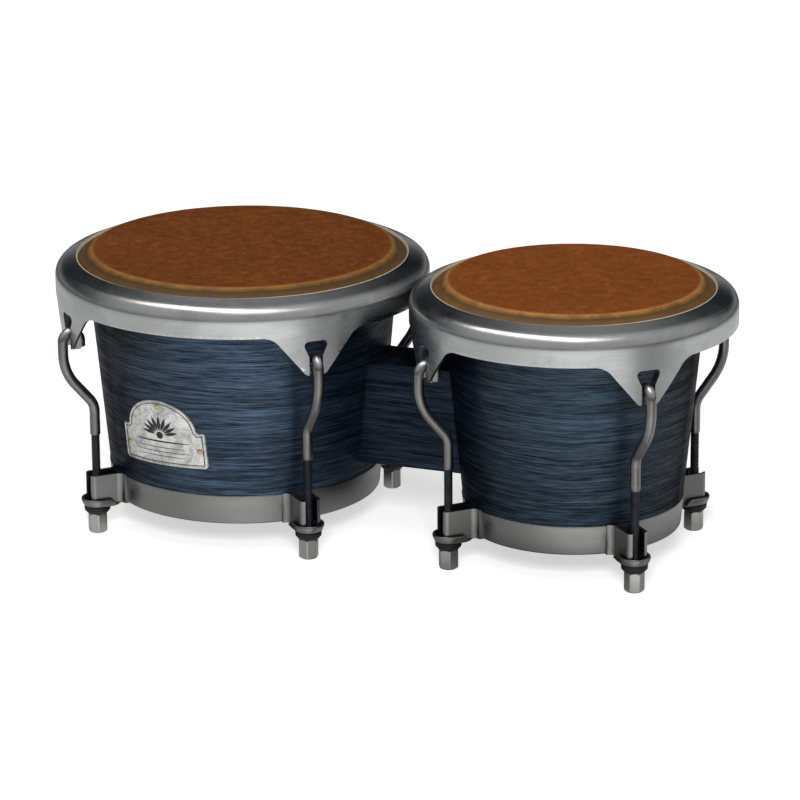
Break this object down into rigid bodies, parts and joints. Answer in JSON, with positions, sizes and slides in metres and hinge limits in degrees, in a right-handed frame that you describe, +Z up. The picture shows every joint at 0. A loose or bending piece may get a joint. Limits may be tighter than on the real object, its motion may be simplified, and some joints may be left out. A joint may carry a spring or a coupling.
{
  "type": "bongo drums",
  "caption": "Pair of hand drums, one large and one small, with stained tapered shells joined by a wooden block and skin heads tensioned by steel rims, hooks and nuts",
  "frame": {"origin": "on the ground under the middle of the pair, at the level of the bottoms of the tuning nuts, halfway between the outer edges of the two rims", "axes": "+X from the large drum (hembra) to the small drum (macho), +Y away from the badge side, +Z up; the heads face +Z"},
  "size_m": [0.5008, 0.2688, 0.2],
  "materials": {
    "stained_wood": "satin, dark blue stain over streaky grain",
    "head_skin": "semi-matte, mottled",
    "rim_steel": "brushed",
    "ring_steel": "brushed",
    "hook_steel": "satin, threads blackened",
    "nut_steel": "satin",
    "cup_steel": "satin",
    "black_rubber": "matte",
    "hidden_steel": "zinc plated",
    "badge_metal": "polished, printed border",
    "brass": "satin"
  },
  "bodies": {
    "frame": {"hembra_shell": "stained_wood", "hembra_head": "head_skin", "hembra_flesh_hoop": "hidden_steel", "hembra_bottom_ring": "ring_steel", "hembra_lug_bracket_1": "ring_steel", "hembra_lug_bracket_2": "ring_steel", "hembra_lug_bracket_3": "ring_steel", "hembra_lug_bracket_4": "ring_steel", "hembra_cup_washers": "cup_steel", "hembra_nut_collars": "black_rubber", "hembra_block_bolts": "hidden_steel", "hembra_bolt_washers": "hidden_steel", "macho_shell": "stained_wood", "macho_head": "head_skin", "macho_flesh_hoop": "hidden_steel", "macho_bottom_ring": "ring_steel", "macho_lug_bracket_1": "ring_steel", "macho_lug_bracket_2": "ring_steel", "macho_lug_bracket_3": "ring_steel", "macho_lug_bracket_4": "ring_steel", "macho_cup_washers": "cup_steel", "macho_nut_collars": "black_rubber", "macho_block_bolts": "hidden_steel", "macho_bolt_washers": "hidden_steel", "centre_block": "stained_wood", "badge_plate": "badge_metal", "badge_nails": "brass"},
    "hembra_rim_set": {"hembra_rim": "rim_steel", "hembra_hook_1": "hook_steel", "hembra_hook_2": "hook_steel", "hembra_hook_3": "hook_steel", "hembra_hook_4": "hook_steel"},
    "hembra_nut_1": {"hembra_nut_1": "nut_steel"},
    "hembra_nut_2": {"hembra_nut_2": "nut_steel"},
    "hembra_nut_3": {"hembra_nut_3": "nut_steel"},
    "hembra_nut_4": {"hembra_nut_4": "nut_steel"},
    "macho_rim_set": {"macho_rim": "rim_steel", "macho_hook_1": "hook_steel", "macho_hook_2": "hook_steel", "macho_hook_3": "hook_steel", "macho_hook_4": "hook_steel"},
    "macho_nut_1": {"macho_nut_1": "nut_steel"},
    "macho_nut_2": {"macho_nut_2": "nut_steel"},
    "macho_nut_3": {"macho_nut_3": "nut_steel"},
    "macho_nut_4": {"macho_nut_4": "nut_steel"}
  },
  "joints": [
    {"name": "hembra_rim_slide", "type": "slide", "parent": "frame", "child": "hembra_rim_set", "axis": [0, 0, 1], "range_m": [0, 0.008]},
    {"name": "hembra_nut_1_turn", "type": "hinge", "parent": "frame", "child": "hembra_nut_1", "pos_m": [-0.19795, -0.08195, 0], "axis": [0, 0, 1], "range_deg": [-2270, 0]},
    {"name": "hembra_nut_2_turn", "type": "hinge", "parent": "frame", "child": "hembra_nut_2", "pos_m": [-0.03405, -0.08195, 0], "axis": [0, 0, 1], "range_deg": [-2270, 0]},
    {"name": "hembra_nut_3_turn", "type": "hinge", "parent": "frame", "child": "hembra_nut_3", "pos_m": [-0.03405, 0.08195, 0], "axis": [0, 0, 1], "range_deg": [-2270, 0]},
    {"name": "hembra_nut_4_turn", "type": "hinge", "parent": "frame", "child": "hembra_nut_4", "pos_m": [-0.19795, 0.08195, 0], "axis": [0, 0, 1], "range_deg": [-2270, 0]},
    {"name": "macho_rim_slide", "type": "slide", "parent": "frame", "child": "macho_rim_set", "axis": [0, 0, 1], "range_m": [0, 0.008]},
    {"name": "macho_nut_1_turn", "type": "hinge", "parent": "frame", "child": "macho_nut_1", "pos_m": [0.06648, -0.06852, 0], "axis": [0, 0, 1], "range_deg": [-2270, 0]},
    {"name": "macho_nut_2_turn", "type": "hinge", "parent": "frame", "child": "macho_nut_2", "pos_m": [0.20352, -0.06852, 0], "axis": [0, 0, 1], "range_deg": [-2270, 0]},
    {"name": "macho_nut_3_turn", "type": "hinge", "parent": "frame", "child": "macho_nut_3", "pos_m": [0.20352, 0.06852, 0], "axis": [0, 0, 1], "range_deg": [-2270, 0]},
    {"name": "macho_nut_4_turn", "type": "hinge", "parent": "frame", "child": "macho_nut_4", "pos_m": [0.06648, 0.06852, 0], "axis": [0, 0, 1], "range_deg": [-2270, 0]}
  ],
  "couplings": [
    {"joint": "hembra_nut_1_turn", "follows": "hembra_rim_slide", "rad_per_m": -4947.4},
    {"joint": "hembra_nut_2_turn", "follows": "hembra_rim_slide", "rad_per_m": -4947.4},
    {"joint": "hembra_nut_3_turn", "follows": "hembra_rim_slide", "rad_per_m": -4947.4},
    {"joint": "hembra_nut_4_turn", "follows": "hembra_rim_slide", "rad_per_m": -4947.4},
    {"joint": "macho_nut_1_turn", "follows": "macho_rim_slide", "rad_per_m": -4947.4},
    {"joint": "macho_nut_2_turn", "follows": "macho_rim_slide", "rad_per_m": -4947.4},
    {"joint": "macho_nut_3_turn", "follows": "macho_rim_slide", "rad_per_m": -4947.4},
    {"joint": "macho_nut_4_turn", "follows": "macho_rim_slide", "rad_per_m": -4947.4}
  ]
}
